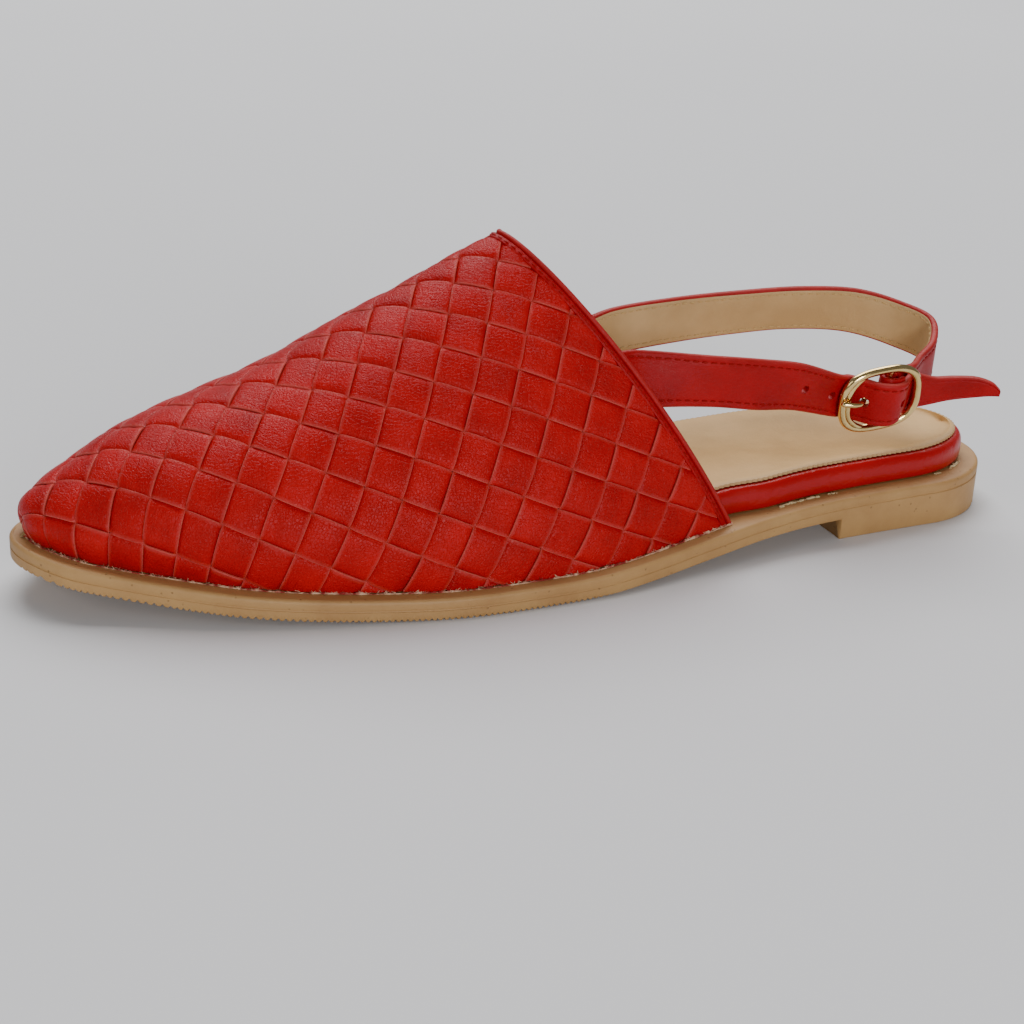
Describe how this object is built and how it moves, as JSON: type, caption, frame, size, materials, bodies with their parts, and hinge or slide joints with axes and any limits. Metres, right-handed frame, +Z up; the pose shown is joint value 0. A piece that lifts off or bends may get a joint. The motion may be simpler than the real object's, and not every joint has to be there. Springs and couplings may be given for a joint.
{
  "type": "woven slingback flat, left shoe",
  "caption": "Pointed flat with a woven leather vamp, low rubber sole, padded footbed and a buckled strap round the heel.",
  "frame": {"origin": "on the floor, under the middle of the sole", "axes": "-X towards the toe, +X towards the heel, -Y towards the outer side, +Z up"},
  "size_m": [0.262, 0.0888, 0.0788],
  "materials": {
    "sole_rubber": "matt moulded",
    "wrap_leather": "smooth, glossy",
    "sock_leather": "soft, matt",
    "woven_leather": "fine grain, soft sheen",
    "strap_leather": "fine grain, stitched edges",
    "buckle_brass": "polished"
  },
  "bodies": {
    "root": {"outsole": "sole_rubber", "footbed": "wrap_leather", "insole": "sock_leather", "upper": "woven_leather", "topline_binding": "strap_leather", "sling_strap": "strap_leather", "front_strap": "strap_leather", "buckle_frame": "buckle_brass", "buckle_prong": "buckle_brass"}
  },
  "joints": []
}
